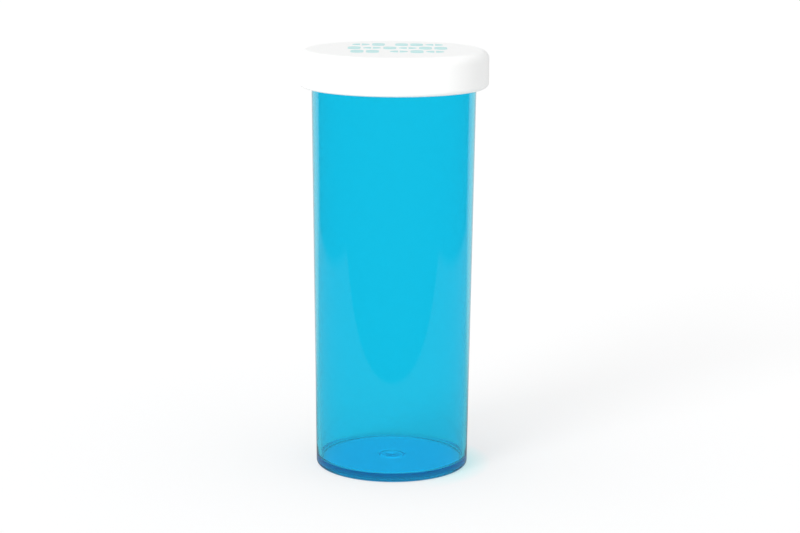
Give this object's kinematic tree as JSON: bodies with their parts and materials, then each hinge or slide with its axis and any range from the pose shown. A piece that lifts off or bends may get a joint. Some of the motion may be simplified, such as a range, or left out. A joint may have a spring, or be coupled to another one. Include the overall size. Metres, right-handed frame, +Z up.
{
  "type": "prescription vial",
  "caption": "Tall, slightly tapered, clear-tinted plastic vial on a recessed foot, closed by a smooth two-shell push-and-turn cap with a sealing liner, for tablets or capsules.",
  "frame": {"origin": "middle of the foot, on the surface that the vial stands on", "axes": "+Z up along the vial's axis, out through the cap; +X and +Y across it"},
  "size_m": [0.059, 0.059, 0.1324],
  "materials": {
    "vial_clear_blue": "clear blue-tinted polypropylene, glossy",
    "liner_foam": "white foamed polyethylene",
    "inner_cap_white": "white polypropylene, fine satin",
    "spring_natural": "natural, milky polypropylene",
    "outer_cap_white": "white polypropylene, fine satin, printed on top in pale teal"
  },
  "bodies": {
    "vial": {"vial_body": "vial_clear_blue"},
    "liner": {"sealing_liner": "liner_foam"},
    "inner_shell": {"inner_cap": "inner_cap_white", "return_spring": "spring_natural"},
    "outer_shell": {"outer_cap": "outer_cap_white"}
  },
  "joints": [
    {"name": "cap_rise", "type": "slide", "parent": "vial", "child": "liner", "axis": [0, 0, 1], "range_m": [0, 0.016]},
    {"name": "cap_turn", "type": "hinge", "parent": "liner", "child": "inner_shell", "pos_m": [0, 0, 0.1247], "axis": [0, 0, 1], "range_deg": [0, 360]},
    {"name": "push_down", "type": "slide", "parent": "inner_shell", "child": "outer_shell", "axis": [0, 0, 1], "range_m": [-0.0014, 0], "stiffness_N_per_m": 12000, "deforming": ["return_spring"]}
  ],
  "couplings": [
    {"joint": "cap_rise", "follows": "cap_turn", "m_per_rad": 0.002546}
  ]
}
